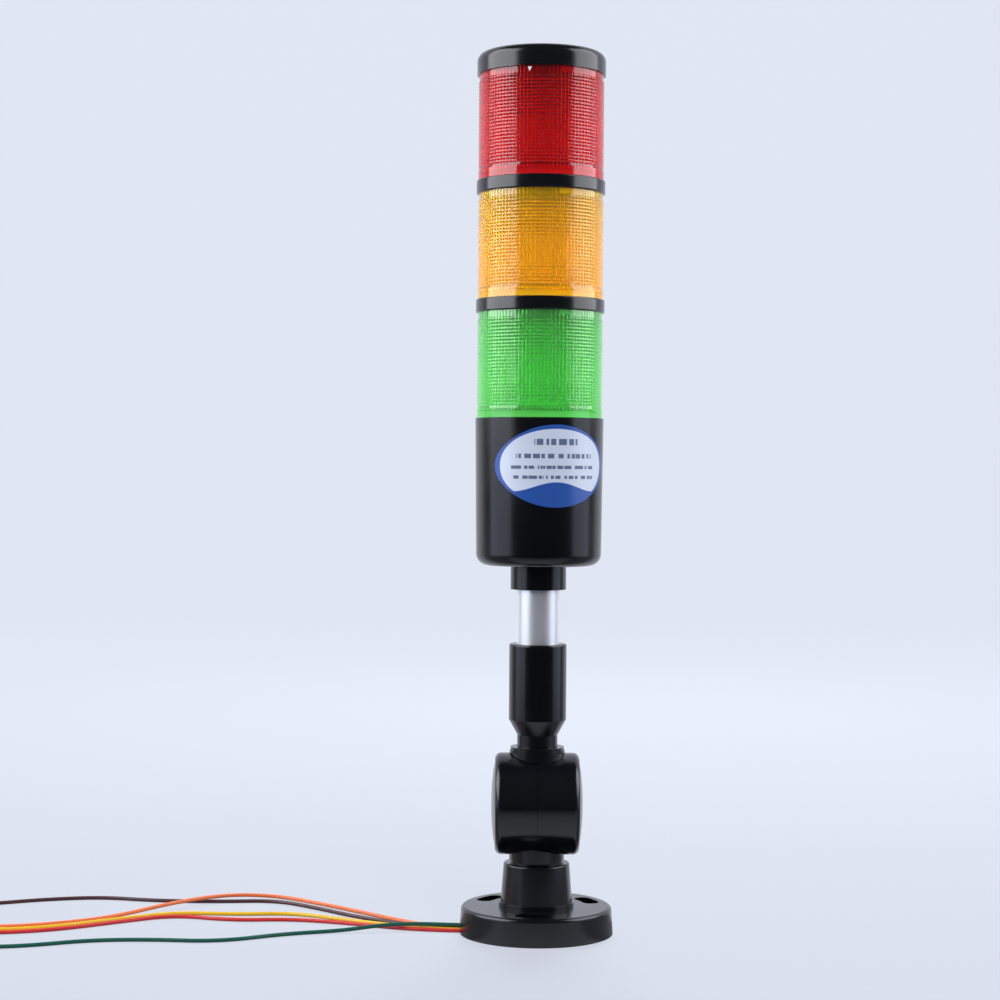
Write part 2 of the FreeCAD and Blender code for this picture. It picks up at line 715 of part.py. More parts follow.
def controlElectronics():
    level = "@board_level"
    board = cylinder(f"{housingBore}/2-@control_board_play", "@board_thickness", z=level)
    shanks = []
    screws = []
    for i in range(int(size("@post_count"))):
        x = f"{postCircle}/2*cos(@post_phase+360/@post_count*{i})"
        y = f"{postCircle}/2*sin(@post_phase+360/@post_count*{i})"
        shanks.append(cylinder("@board_screw_diameter/2", "@board_thickness", x, y, level))
        screws.append(joined(
            cylinder("@board_screw_head/2", "@board_screw_head_height", x, y, f"{level}+@board_thickness"),
            cylinder("@board_screw_diameter/2", "@board_thickness", x, y, level)))
    node(less(board, joined(*shanks)), "control_board")
    node(group(*screws), "board_screws")
    can = cylinder("@buzzer_diameter/2", "@buzzer_height", z=f"{level}+@board_thickness")
    port = cylinder("@buzzer_hole/2", "@buzzer_height/2",
                     z=f"{level}+@board_thickness+@buzzer_height/2")
    node(less(can, port), "buzzer")
    plate = "@housing_top_level-@mouth_depth-@top_plate_thickness"
    node(washer(f"{mouth}-@tube_fit*2", "@lead_bore", "@top_plate_thickness", z=plate),
         "housing_top_plate")


# Oval sticker that follows the tapered wall
def ratingLabel():
    rise = "@housing_top_level-@housing_level"
    low = f"{housingBottom}/2"
    high = f"{tower}/2"
    shells = []
    for extra in ("@label_thickness+@label_glue", "@label_glue"):
        cone = doc.addObject("Part::Cone", "Wall")
        bind(cone, Radius1=f"{low}+{extra}", Radius2=f"{high}+{extra}", Height=rise)
        shells.append(put(cone, z="@housing_level"))
    # Half the chord of an oval whose long axis is wrapped round the wall
    chord = f"{tower}/2*sin(@label_arc/{tower}*180/pi)"
    oval = doc.addObject("Part::Ellipse", "Oval")
    bind(oval, MajorRadius=chord, MinorRadius="@label_height/2")
    oval.Placement = Placement(Vector(), Rotation(Vector(-1, 0, 0), Vector(0, 0, 1), Vector(0, 1, 0), "XYZ"))
    put(oval, z="@label_level")
    sweep = doc.addObject("Part::Extrusion", "OvalPrism")
    sweep.Base = oval
    sweep.Solid = True
    sweep.DirMode = "Custom"
    sweep.Dir = Y
    bind(sweep, LengthFwd=tower)
    turn = "placement(vector(0; 0; 0); rotation(vector(0; 0; 1); @label_azimuth-90))"
    sweep.setExpression("Placement", named(turn))
    label = doc.addObject("Part::MultiCommon", "Label")
    label.Shapes = [less(shells[0], shells[1]), sweep]
    return node(label, "rating_label")


def rectangle(length, width):
    return [(f"-({length})/2", f"-({width})/2"), (f"({length})/2", f"-({width})/2"),
            (f"({length})/2", f"({width})/2"), (f"-({length})/2", f"({width})/2")]


# Levels of the tiers: each lens stands on the mouth below it
lensLevels = {
    "green": "@housing_top_level",
    "amber": "@housing_top_level+@lens_length+@ring_height",
    "red": "@housing_top_level+@lens_length*2+@ring_height*2",
}


# Lens: ribbed outside, fluted inside, a foot with three lugs below and three hooks inside the top
def lens(colour):
    body = newBody(f"{colour}Lens", z=lensLevels[colour])
    root = f"{lensRoot}/2"
    crest = f"{root}+@rib_height"
    bore = f"{lensBore}/2"
    ankle = f"{foot}/2"
    groove = f"{ankle}-@seal_depth"
    turned(body, [
        (f"{footBore}/2", "-@foot_length"), (ankle, "-@foot_length"), (ankle, "-@seal_drop-@seal_height"),
        (groove, "-@seal_drop-@seal_height"), (groove, "-@seal_drop"), (ankle, "-@seal_drop"),
        (ankle, "0"), (crest, "0"), (crest, "@rib_start-@rib_height"), (root, "@rib_start-@rib_height"),
        (root, "@lens_length"), (bore, "@lens_length"), (bore, "@band_height"),
        (f"{footBore}/2", "@band_height"),
    ])
    rib = turned(body, [(f"{root}-@rib_root", "@rib_start"), (crest, "@rib_start+@rib_width/2"),
                        (f"{root}-@rib_root", "@rib_start+@rib_width")])
    ribs = body.newObject("PartDesign::LinearPattern", "Ribs")
    ribs.Originals = [rib]
    ribs.Direction = (origin(body, "Z_Axis"), [""])
    bind(ribs, Length=f"@rib_pitch*({ribCount}-1)", Occurrences=ribCount)
    finish(body, ribs)
    half = f"{lensBore}*pi/2/@flute_count*@flute_share"
    flute = pocket(body, [(f"{bore}-@flute_depth", f"-{half}"), (f"{bore}+@flute_depth", "0"),
                          (f"{bore}-@flute_depth", half)],
                   "@lens_length-@band_height+@cut_margin", reverse=True, lift="@band_height")
    around(body, flute, "@flute_count")
    low = "-@foot_length+@lug_lift"
    lug = turned(body, [(f"{ankle}-@lug_root", low), (f"{ankle}+@lug_reach", low),
                        (f"{ankle}+@lug_reach", f"{low}+@lug_height"), (f"{ankle}-@lug_root", f"{low}+@lug_height")],
                 angle="@lug_angle", azimuth="@lug_phase")
    around(body, lug, "@lug_count")
    hook = turned(body, [(f"{bore}-@hook_reach", "@lens_length-@hook_height"),
                         (f"{bore}+@flute_depth/2", "@lens_length-@hook_height"),
                         (f"{bore}+@flute_depth/2", "@lens_length"), (f"{bore}-@hook_reach", "@lens_length")],
                  angle="@hook_angle", azimuth="@lug_phase")
    around(body, hook, "@lug_count")
    return node(body, f"{colour}_lens")


# Spigot that locks under the hooks of a lens, with its lugs
def lockLugs(body):
    side = f"{spigot}/2"
    high = "-@hook_height-@hook_gap"
    lug = turned(body, [(f"{side}-@lug_root", f"{high}-@lock_lug_height"),
                        (f"{side}+@lock_lug_reach", f"{high}-@lock_lug_height"),
                        (f"{side}+@lock_lug_reach", high), (f"{side}-@lug_root", high)],
                 angle="@lug_angle", azimuth="@lug_phase")
    around(body, lug, "@lug_count")


def tierRing(colour, label):
    body = newBody("Ring", z=f"{lensLevels[colour]}+@lens_length")
    floor = "@ring_height-@mouth_depth"
    turned(body, [
        (f"{spigotBore}/2", "-@ring_spigot_length"), (f"{spigot}/2", "-@ring_spigot_length"),
        (f"{spigot}/2", "0"), (f"{ringOutside}/2", "0"), (f"{ringOutside}/2", "@ring_height"),
        (f"{mouth}/2", "@ring_height"), (f"{mouth}/2", floor), ("@lead_bore/2", floor),
        ("@lead_bore/2", f"{floor}-@ring_floor"), (f"{spigotBore}/2", f"{floor}-@ring_floor"),
    ])
    lockLugs(body)
    bayonetMouth(body, "@ring_height")
    rounded(body, "@ring_edge_radius", ringEdge(f"{ringOutside}/2", "0"))
    rounded(body, "@ring_edge_radius", ringEdge(f"{ringOutside}/2", "@ring_height"))
    return node(body, label)


def topCap():
    level = f"{lensLevels['red']}+@lens_length"
    body = newBody("Cap", z=level)
    bore = f"{spigotBore}/2"
    turned(body, [
        (bore, "-@ring_spigot_length"), (f"{spigot}/2", "-@ring_spigot_length"),
        (f"{spigot}/2", "0"), (f"{sealInside}/2", "0"), (f"{sealInside}/2", "@cap_seal_height"),
        (f"{sealOutside}/2", "@cap_seal_height"), (f"{sealOutside}/2", "0"), (f"{ringOutside}/2", "0"),
        (f"{ringOutside}/2", "@cap_height-@cap_crown"), ("0", "@cap_height"),
        ("0", "@cap_height-@cap_wall"), (bore, "@cap_height-@cap_crown-@cap_wall"),
    ])
    lockLugs(body)
    rounded(body, "@cap_corner_radius", ringEdge(f"{ringOutside}/2", "@cap_height-@cap_crown"))
    node(body, "top_cap")
    node(washer(f"{sealOutside}", f"{sealInside}", "@cap_seal_height", z=level), "cap_seal")


# Everything that turns with one lens: carrier, board, diodes, contact pins and seal
def tierInsides(colour):
    level = lensLevels[colour]
    body = newBody(f"{colour}Carrier", z=level)
    rim = f"{carrier}/2"
    floor = "@carrier_floor-@carrier_drop"
    turned(body, [("0", "-@carrier_drop"), (rim, "-@carrier_drop"), (rim, floor), ("0", floor)])
    tab = turned(body, [(f"{rim}-@tab_thickness", "0"), (rim, "0"), (rim, f"{floor}+@tab_height"),
                        (f"{rim}-@tab_thickness", f"{floor}+@tab_height")],
                 angle="@tab_angle", azimuth="@tab_phase")
    around(body, tab, "@tab_count")
    pocket(body, rectangle("@board_socket_width", "@board_socket_depth"),
           f"{floor}+@board_socket_height", reverse=False, add=True)
    pocket(body, rectangle("@led_board_width+@tube_fit*2", "@board_thickness+@tube_fit*2"),
           "@board_socket_height+@carrier_floor", reverse=True, lift="@led_board_seat")
    pins = []
    for i in range(int(size("@pin_count"))):
        x = f"({rim}-@pin_inset)*cos(@pin_azimuth+@pin_angle*{i})"
        y = f"({rim}-@pin_inset)*sin(@pin_azimuth+@pin_angle*{i})"
        tip = f"{level}-@mouth_depth+@contact_board_thickness+@pin_clear"
        drop = f"@mouth_depth-@contact_board_thickness-@pin_clear+{floor}+@pin_rise"
        pins.append((x, y, tip, drop))
    holes = group(*[cylinder("@pin_diameter/2", drop, x, y, tip) for x, y, tip, drop in pins])
    node(less(body, holes), f"{colour}_board_carrier")
    node(group(*[cylinder("@pin_diameter/2", drop, x, y, tip) for x, y, tip, drop in pins]),
         f"{colour}_contact_pins")
    node(block("@led_board_width", "@board_thickness", f"{ledBoardTop}-@led_board_seat", "0", "0",
               f"{level}+@led_board_seat"), f"{colour}_led_board")
    rowPitch = f"({ledBoardTop}-@led_last_drop-@led_first_level)/(@led_rows-1)"
    diodes = []
    for side in (-1, 1):
        for column in (-1, 1):
            for line in range(int(size("@led_rows"))):
                diodes.append(block(
                    "@led_size", "@led_height", "@led_size", f"{column}*@led_column_offset",
                    f"{side}*(@board_thickness/2+@led_height/2)",
                    f"{level}+@led_first_level+{rowPitch}*{line}-@led_size/2"))
    node(group(*diodes), f"{colour}_leds")
    node(washer(f"{foot}+@seal_swell*2", f"{foot}-@seal_depth*2", "@seal_height",
                z=f"{level}-@seal_drop-@seal_height"), f"{colour}_seal")


def contactBoard(label, mouthLevel):
    node(washer(f"{footBore}-@contact_board_play*2", "@lead_bore", "@contact_board_thickness",
                z=f"{mouthLevel}-@mouth_depth"), label)


# Leads: points of each route in millimetres, from the stem's bore out through the notch.
# The last point is where the lead joins its coil; side says on which side of it the coil lies.
leadRoutes = {
    "orange": ([(0, 2.55, 14), (0, 2.55, 0.8), (-37, 3.6, 0.8), (-54, 16, 0.8), (-70, 32, 0.8),
                (-89, 50, 0.8), (-108, 66, 0.8), (-129, 59, 2.7), (-149, 41, 2.7), (-170, 20, 0.8),
                (-191, 6, 0.8), (-212, -1, 0.8), (-226, 3.5, 0.8), (-238, 5.2, 0.8)], 1),
    "brown": ([(0, 0.85, 14), (0, 0.85, 0.8), (-36, 1.4, 0.8), (-53, 10, 0.8), (-72, 23, 0.8),
               (-90, 41, 0.8), (-108, 56, 0.8), (-132, 53, 0.8), (-158, 54, 0.8), (-182, 61, 0.8),
               (-206, 55, 0.8), (-226, 45, 0.8), (-243, 41.2, 0.8)], 1),
    "yellow": ([(0, -0.85, 14), (0, -0.85, 0.8), (-34, -0.7, 0.8), (-54, 6, 0.8), (-76, 17, 0.8),
                (-98, 30, 0.8), (-122, 27, 0.8), (-146, 30, 0.8), (-168, 16, 0.8), (-190, 0, 0.8),
                (-212, -7, 0.8), (-236, -2, 0.8), (-250, 2.5, 0.8), (-262, 4.8, 0.8)], -1),
    "red": ([(0, -2.55, 14), (0, -2.55, 0.8), (-32, -2.6, 0.8), (-53, 1.2, 0.8), (-75, 11, 0.8),
             (-98, 18, 0.8), (-122, 15, 0.8), (-146, 24.5, 0.8), (-166, 11, 0.8), (-188, -5, 0.8),
             (-210, -12, 0.8), (-222, -10.5, 0.8), (-234, -9.2, 0.8)], -1),
    "green": ([(-1.7, 0, 14), (-1.7, 0, 2.5), (-31, 0.4, 2.5), (-46, 2.2, 2.6), (-61, -0.8, 2.6),
               (-76, -3.5, 0.8), (-98, -10, 0.8), (-122, -25, 0.8), (-148, -22, 0.8), (-172, -24, 0.8),
               (-194, -35, 0.8), (-214, -38, 0.8), (-236, -41.2, 0.8)], -1),
}


def roundedRoute(points):
    """Straight runs joined by tangent arcs, each as large as its two runs allow."""
    points = [Vector(*p) for p in points]
    edges = []
    radii = []
    start = points[0]
    for before, corner, after in zip(points, points[1:], points[2:]):
        entering = corner - before
        leaving = after - corner
        turn = entering.getAngle(leaving)
        reach = 0.45 * min(entering.Length, leaving.Length)
        radii.append(round(reach / math.tan(turn / 2), 1))
        first = corner - entering.normalize() * reach
        last = corner + leaving.normalize() * reach
        inward = leaving - entering
        centre = corner + inward.normalize() * (reach / math.sin(turn / 2))
        middle = centre + (corner - centre).normalize() * reach / math.tan(turn / 2)
        edges.append(Part.LineSegment(start, first).toShape())
        edges.append(Part.Arc(first, middle, last).toShape())
        start = last
    edges.append(Part.LineSegment(start, points[-1]).toShape())
    return Part.Wire(edges), radii


def leads():
    radius = size("@lead_diameter/2")
    ties = []
    for colour, (points, side) in leadRoutes.items():
        end = points[-1]
        centreX = str(end[0])
        centreY = f"{end[1]}+({side})*@coil_diameter/2"
        coil = washer("@coil_diameter+@coil_width", "@coil_diameter-@coil_width", "@coil_height",
                      centreX, centreY, "@tie_thickness")
        node(coil, f"{colour}_lead_coil")
        doc.recompute()
        path, radii = roundedRoute(points)
        print(colour, "lead", round(path.Length, 1), "mm, radii", radii)
        section = Part.Wire([Part.Circle(Vector(*points[0]), Z, radius).toShape()])
        tube = path.makePipeShell([section], True, False)
        expected = math.pi * radius ** 2 * path.Length
        if abs(tube.Volume / expected - 1) > 0.01:
            raise ValueError(f"{colour} lead: volume {tube.Volume:.1f}, expected {expected:.1f}")
        lead = doc.addObject("Part::Feature", "Lead")
        lead.Shape = tube.cut(coil.Shape)
        node(lead, f"{colour}_lead")
        x = f"{centreX}-@coil_diameter/2"
        band = less(block("@coil_width+@tie_play*2+@tie_thickness*2", "@tie_width", "@coil_height+@tie_thickness*2",
                          x, centreY, "0"),
                    block("@coil_width+@tie_play*2", "@tie_width", "@coil_height", x, centreY, "@tie_thickness"))
        ties.append(band)
    node(group(*ties), "lead_ties")


footFlange()
lowerKnuckle()
upperKnuckle()
hubCap("left_hub_cap", -1)
hubCap("right_hub_cap", 1)
pivotHardware()
stemNut()
setScrew("socket_set_screw", "@socket_level-@set_screw_drop", "@socket_diameter")
setScrew("collar_set_screw", "@housing_collar_level+@set_screw_drop", "@housing_collar_diameter")
poleTube()
housing()
controlElectronics()
ratingLabel()
for colour in lensLevels:
    lens(colour)
    tierInsides(colour)
tierRing("green", "lower_ring")
tierRing("amber", "upper_ring")
contactBoard("housing_contact_board", lensLevels["green"])
contactBoard("lower_contact_board", lensLevels["amber"])
contactBoard("upper_contact_board", lensLevels["red"])
topCap()
leads()

doc.recompute()
for thing in doc.Objects:
    if "Invalid" in thing.State or "Error" in thing.State:
        raise RuntimeError(f"{thing.Label} failed: {thing.State}")
os.makedirs("parts", exist_ok=True)
for thing in subParts:
    if thing.Shape.isNull() or not thing.Shape.isValid():
        raise RuntimeError(f"{thing.Label} has no valid shape")
    thing.Shape.exportStep(f"parts/{thing.Label}.step")
print(len(subParts), "sub-parts written")
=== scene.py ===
# Stack light on a folding foot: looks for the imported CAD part. Metres, same frame as the CAD.
import json
import math

import bmesh
import bpy
from mathutils import Matrix, Vector


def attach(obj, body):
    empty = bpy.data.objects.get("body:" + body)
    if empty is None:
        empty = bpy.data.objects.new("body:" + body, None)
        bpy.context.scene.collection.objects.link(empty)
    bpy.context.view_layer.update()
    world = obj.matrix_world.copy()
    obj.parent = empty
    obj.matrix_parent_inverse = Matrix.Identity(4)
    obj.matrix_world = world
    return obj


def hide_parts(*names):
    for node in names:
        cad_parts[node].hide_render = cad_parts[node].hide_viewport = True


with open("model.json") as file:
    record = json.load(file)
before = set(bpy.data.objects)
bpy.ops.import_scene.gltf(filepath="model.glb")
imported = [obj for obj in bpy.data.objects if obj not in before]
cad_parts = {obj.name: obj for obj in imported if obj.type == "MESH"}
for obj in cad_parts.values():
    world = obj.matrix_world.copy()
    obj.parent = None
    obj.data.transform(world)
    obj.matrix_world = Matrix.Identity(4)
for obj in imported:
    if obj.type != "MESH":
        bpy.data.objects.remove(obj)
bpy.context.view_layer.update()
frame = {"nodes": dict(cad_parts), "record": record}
mm = 0.001
scene = bpy.context.scene
print("stage: frame loaded,", len(frame["nodes"]), "nodes")


# sRGB hex to linear RGBA
def fromHex(code):
    parts = [int(code[i:i + 2], 16) / 255 for i in (1, 3, 5)]
    return [c / 12.92 if c <= 0.04045 else ((c + 0.055) / 1.055) ** 2.4 for c in parts] + [1.0]


# Values fill the sockets in order, inputs by name or number; a node stands for its first output
def addNode(tree, kind, *values, inputs=None, **settings):
    node = tree.nodes.new(kind)
    for name, value in settings.items():
        setattr(node, name, value)
    for place, value in list(enumerate(values)) + list((inputs or {}).items()):
        if isinstance(value, bpy.types.Node):
            value = value.outputs[0]
        if isinstance(value, bpy.types.NodeSocket):
            tree.links.new(value, node.inputs[place])
        else:
            node.inputs[place].default_value = value
    return node


# Camera: almost level, 0.87 m in front and a little left of the pole. Angles in degrees, lens in mm
camera = {"place": (-0.0153, -0.873, 0.183), "lens": 79.9, "sensor": 36, "nearest": 0.01,
          "tilt": -0.83, "roll": 0.37}


def addCamera(spec):
    data = bpy.data.cameras.new("camera")
    data.lens = spec["lens"]
    data.sensor_width = spec["sensor"]
    data.clip_start = spec["nearest"]
    thing = bpy.data.objects.new("camera", data)
    thing.matrix_world = (Matrix.Translation(spec["place"])
                          @ Matrix.Rotation(math.radians(90 + spec["tilt"]), 4, "X")
                          @ Matrix.Rotation(math.radians(spec["roll"]), 4, "Z"))
    scene.collection.objects.link(thing)
    scene.camera = thing


addCamera(camera)

# Leads, in millimetres: each route from inside the foot, and the side of it where its coil lies
leads = {
    "orange": {"side": 1, "points": [
        (0, 2.55, 14), (0, 2.55, .8), (-37, 3.6, .8), (-54, 16, .8), (-70, 32, .8), (-89, 50, .8),
        (-108, 66, .8), (-129, 59, 2.7), (-149, 41, 2.7), (-170, 20, .8), (-191, 6, .8),
        (-212, -1, .8), (-226, 3.5, .8), (-238, 5.2, .8)]},
    "brown": {"side": 1, "points": [
        (0, .85, 14), (0, .85, .8), (-36, 1.4, .8), (-53, 10, .8), (-72, 23, .8), (-90, 41, .8),
        (-108, 56, .8), (-132, 53, .8), (-158, 54, .8), (-182, 61, .8), (-206, 55, .8),
        (-226, 45, .8), (-243, 41.2, .8)]},
    "yellow": {"side": -1, "points": [
        (0, -.85, 14), (0, -.85, .8), (-34, -.7, .8), (-54, 6, .8), (-76, 17, .8), (-98, 30, .8),
        (-122, 27, .8), (-146, 30, .8), (-168, 16, .8), (-190, 0, .8), (-212, -7, .8),
        (-236, -2, .8), (-250, 2.5, .8), (-262, 4.8, .8)]},
    "red": {"side": -1, "points": [
        (0, -2.55, 14), (0, -2.55, .8), (-32, -2.6, .8), (-53, 1.2, .8), (-75, 11, .8), (-98, 18, .8),
        (-122, 15, .8), (-146, 24.5, .8), (-166, 11, .8), (-188, -5, .8), (-210, -12, .8),
        (-222, -10.5, .8), (-234, -9.2, .8)]},
    "green": {"side": -1, "points": [
        (-1.7, 0, 14), (-1.7, 0, 2.5), (-31, .4, 2.5), (-46, 2.2, 2.6), (-61, -.8, 2.6),
        (-76, -3.5, .8), (-98, -10, .8), (-122, -25, .8), (-148, -22, .8), (-172, -24, .8),
        (-194, -35, .8), (-214, -38, .8), (-236, -41.2, .8)]},
}
lead = {"diameter": 1.6, "splineOrder": 3, "smoothness": 6, "roundness": 4}
# Coils: a radius and a height for each turn, and the share of a turn in which one goes over to the next
coil = {"turns": 4.5, "steps": 14, "middle": 8.8, "change": 0.28,
        "radii": (7.3, 8.9, 10.5, 9.7, 8.1), "heights": (1.2, 1.2, 1.2, 2.7, 2.7)}


# Turns that start at the route's end, three below and the rest on top of them
def coilPoints(end, side):
    steps = coil["steps"]
    pull = math.cos(math.pi / steps) ** 2 * 0.5 + 0.5     # the spline cuts inside its points
    points = []
    for i in range(1, int(coil["turns"] * steps) + 1):
        turn = i / steps
        low = min(int(turn), len(coil["radii"]) - 2)
        blend = min(max((turn - low - 1 + coil["change"]) / coil["change"], 0), 1)
        radius, height = [coil[key][low] * (1 - blend) + coil[key][low + 1] * blend
                          for key in ("radii", "heights")]
        angle = -side * (math.pi / 2 + 2 * math.pi * turn)
        x = end[0] + radius / pull * math.cos(angle)
        y = end[1] + side * coil["middle"] + radius / pull * math.sin(angle)
        points.append((x, y, height))
    return points


# Length along the middle of a wire, in metres
def wireLength(wire):
    bare = wire.copy()
    bare.data = wire.data.copy()
    bare.data.bevel_depth = 0
    line = bpy.data.meshes.new_from_object(bare)
    places = [vertex.co for vertex in line.vertices]
    length = sum((places[e.vertices[0]] - places[e.vertices[1]]).length for e in line.edges)
    bareCurve = bare.data
    bpy.data.meshes.remove(line)
    bpy.data.objects.remove(bare)
    bpy.data.curves.remove(bareCurve)
    return length


def addLeads():
    for colour, spec in leads.items():
        data = bpy.data.curves.new(f"{colour}LeadWire", "CURVE")
        data.dimensions = "3D"
        data.bevel_depth = 1.0     # times each point's radius, so that the curve's own box is the wire's
        data.bevel_resolution = lead["roundness"]
        data.resolution_u = lead["smoothness"]
        data.use_fill_caps = True
        points = spec["points"] + coilPoints(spec["points"][-1], spec["side"])
        spline = data.splines.new("NURBS")
        spline.points.add(len(points) - 1)
        for point, (x, y, z) in zip(spline.points, points):
            point.co = (x * mm, y * mm, z * mm, 1)
            point.radius = lead["diameter"] / 2 * mm
        spline.order_u = lead["splineOrder"]
        spline.use_endpoint_u = True
        wire = bpy.data.objects.new(f"{colour}LeadWire", data)
        scene.collection.objects.link(wire)
        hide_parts(f"{colour}_lead", f"{colour}_lead_coil")
        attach(wire, "base")
        length = wireLength(wire)
        print(f"  {colour} lead {length:.3f} m")
        spec["wire"] = wire


addLeads()
print("stage: leads laid")


def newMaterial(name):
    material = bpy.data.materials.new(name)
    material.use_nodes = True
    tree = material.node_tree
    return material, tree, tree.nodes["Principled BSDF"]


# Backdrop, in metres: paper from the floor up behind, which lies a hair under the foot.
# Its glow, near and far, is what the camera sees of it beside the lamps' light.
# In gloss it is dark in front of the light, full from the pole back, and dimmer straight to the sides.
backdrop = {"near": -6.0, "far": 2.0, "bend": 0.5, "bendAngles": (0.4, 0.8, 1.2, math.pi / 2),
            "top": 5.0, "halfWidth": 6.0, "sunk": 0.00002, "colour": "#e6ebf8", "roughness": 0.9,
            "glow": (0.67, 0.94), "glowReach": (0.2, 1.4),
            "mirrorReach": (-0.36, 0.0), "sideReach": (0.80, 0.90), "sideMirror": 0.32}


# Matt coated paper: pale blue-grey with no shine, lit by the lamps, and with a painted glow. To the camera
# the glow is weaker near the foot, so that the lamps' shadows show there; in gloss and through glass it
# shows its glow alone, as a painted reflection
def paper(spec):
    material, tree, shader = newMaterial("paperBackdrop")
    colour = fromHex(spec["colour"])
    shader.inputs["Base Color"].default_value = colour
    shader.inputs["Roughness"].default_value = spec["roughness"]
    ray = addNode(tree, "ShaderNodeLightPath").outputs
    place = addNode(tree, "ShaderNodeTexCoord").outputs["Object"]
    away = addNode(tree, "ShaderNodeVectorMath", place, operation="LENGTH").outputs["Value"]
    glow = addNode(tree, "ShaderNodeMapRange", away, *spec["glowReach"], *spec["glow"])
    axes = addNode(tree, "ShaderNodeSeparateXYZ", place).outputs
    front = addNode(tree, "ShaderNodeMapRange", axes[1], *spec["mirrorReach"], 0.0, 1.0)
    aside = addNode(tree, "ShaderNodeMath", axes[0], away, operation="DIVIDE")
    aside = addNode(tree, "ShaderNodeMath", aside, operation="ABSOLUTE")
    side = addNode(tree, "ShaderNodeMapRange", aside, *spec["sideReach"], 1.0, spec["sideMirror"])
    mirror = addNode(tree, "ShaderNodeMath", front, side, operation="MULTIPLY")
    strength = addNode(tree, "ShaderNodeMapRange", ray["Is Glossy Ray"], 0.0, 1.0, 1.0, mirror)
    through = addNode(tree, "ShaderNodeMath", ray["Is Glossy Ray"], ray["Is Transmission Ray"],
                      operation="ADD")
    share = addNode(tree, "ShaderNodeMath", ray["Is Camera Ray"], glow, through,
                    operation="MULTIPLY_ADD", use_clamp=True)
    # Painted glow: emission in the paper's colour. The camera sees it beside the lamps' light, and gloss
    # shows it as a painted reflection
    paintedGlow = addNode(tree, "ShaderNodeEmission", colour, strength)
    mix = addNode(tree, "ShaderNodeMixShader", share, shader, paintedGlow)
    tree.links.new(mix.outputs[0], tree.nodes["Material Output"].inputs[0])
    return material


def addBackdrop(spec):
    outline = [(spec["near"], 0.0), (spec["far"], 0.0)]
    outline += [(spec["far"] + spec["bend"] * math.sin(a), spec["bend"] * (1 - math.cos(a)))
                for a in spec["bendAngles"]]
    outline += [(spec["far"] + spec["bend"], spec["top"])]
    shape = bmesh.new()
    rows = [[shape.verts.new((x, y, z - spec["sunk"])) for x in (-spec["halfWidth"], spec["halfWidth"])]
            for y, z in outline]
    for a, b in zip(rows, rows[1:]):
        shape.faces.new((a[0], a[1], b[1], b[0]))
    bmesh.ops.recalc_face_normals(shape, faces=shape.faces)
    mesh = bpy.data.meshes.new("backdrop")
    shape.to_mesh(mesh)
    shape.free()
    for polygon in mesh.polygons:
        polygon.use_smooth = True
    mesh.materials.append(paper(spec))
    thing = bpy.data.objects.new("backdrop", mesh)
    scene.collection.objects.link(thing)
    spared = bpy.data.collections.new("unlitByPanels")
    spared.objects.link(thing)
    spared.collection_objects[0].light_linking.link_state = "EXCLUDE"


# Soft panels at the sides, which gloss mirrors. Azimuth in degrees from the front, the rest in metres
panels = {
    "lowLeft": {"azimuth": -75, "width": 0.64, "foot": 0.0, "height": 0.24, "radiance": 1.25,
                "colour": "#dfe8ff"},
    "lowRight": {"azimuth": 82, "width": 0.53, "foot": 0.0, "height": 0.24, "radiance": 1.1,
                 "colour": "#dfe8ff"},
    "highLeft": {"azimuth": -78, "width": 0.94, "foot": 0.24, "height": 1.0, "radiance": 4.6,
                 "colour": "#f8f9ff"},
    "highRight": {"azimuth": 88, "width": 0.80, "foot": 0.24, "height": 1.0, "radiance": 3.9,
                  "colour": "#f8f9ff"},
}
panelDistance = 0.75
# Square lamps that light the backdrop too and show in no gloss: one in front, one above and behind
lamps = {
    "fill": {"place": (0.25, -1.25, 0.95), "size": 0.9, "radiance": 3.0, "colour": "#fbfcff"},
    "overhead": {"place": (0.1, 1.0, 1.0), "size": 0.8, "radiance": 8.2, "colour": "#fbfcff"},
}
lampAim = (0, 0, 0.15)


# A mirrored lamp shows in gloss and lights the stack light alone; any other lights all, unseen
def addLamp(name, spec, place, aim, width, height, mirrored):
    lamp = bpy.data.lights.new(name, "AREA")
    lamp.shape = "RECTANGLE"
    lamp.size = width
    lamp.size_y = height
    lamp.energy = spec["radiance"] * math.pi * width * height
    lamp.color = fromHex(spec["colour"])[:3]
    thing = bpy.data.objects.new(name, lamp)
    thing.location = place
    thing.rotation_euler = (Vector(aim) - Vector(place)).to_track_quat("-Z", "Y").to_euler()
    thing.visible_glossy = mirrored
    thing.visible_transmission = mirrored
    if mirrored:
        thing.light_linking.receiver_collection = bpy.data.collections["unlitByPanels"]
    scene.collection.objects.link(thing)


def addLamps():
    for name, spec in panels.items():
        azimuth = math.radians(spec["azimuth"])
        place = Vector((math.sin(azimuth), -math.cos(azimuth), 0)) * panelDistance
        place.z = spec["foot"] + spec["height"] / 2
        addLamp(name, spec, place, (0, 0, place.z), spec["width"], spec["height"], True)
    for name, spec in lamps.items():
        addLamp(name, spec, spec["place"], lampAim, spec["size"], spec["size"], False)


# World: even light from all round, weaker in gloss, and as pale as the backdrop to the camera
world = {"colour": "#eceff9", "strength": 0.12, "mirrored": 0.06, "seen": 0.86}


def addWorld(spec):
    sky = bpy.data.worlds.new("softLight")
    sky.use_nodes = True
    tree = sky.node_tree
    light = tree.nodes["Background"]
    light.inputs["Color"].default_value = fromHex(spec["colour"])
    ray = addNode(tree, "ShaderNodeLightPath").outputs
    lit = addNode(tree, "ShaderNodeMapRange", ray["Is Glossy Ray"], 0.0, 1.0,
                  spec["strength"], spec["mirrored"])
    strength = addNode(tree, "ShaderNodeMapRange", ray["Is Camera Ray"], 0.0, 1.0, lit, spec["seen"])
    tree.links.new(strength.outputs[0], light.inputs["Strength"])
    scene.world = sky


addBackdrop(backdrop)
addLamps()
addWorld(world)
scene.view_settings.view_transform = "Standard"
print("stage: studio lit")

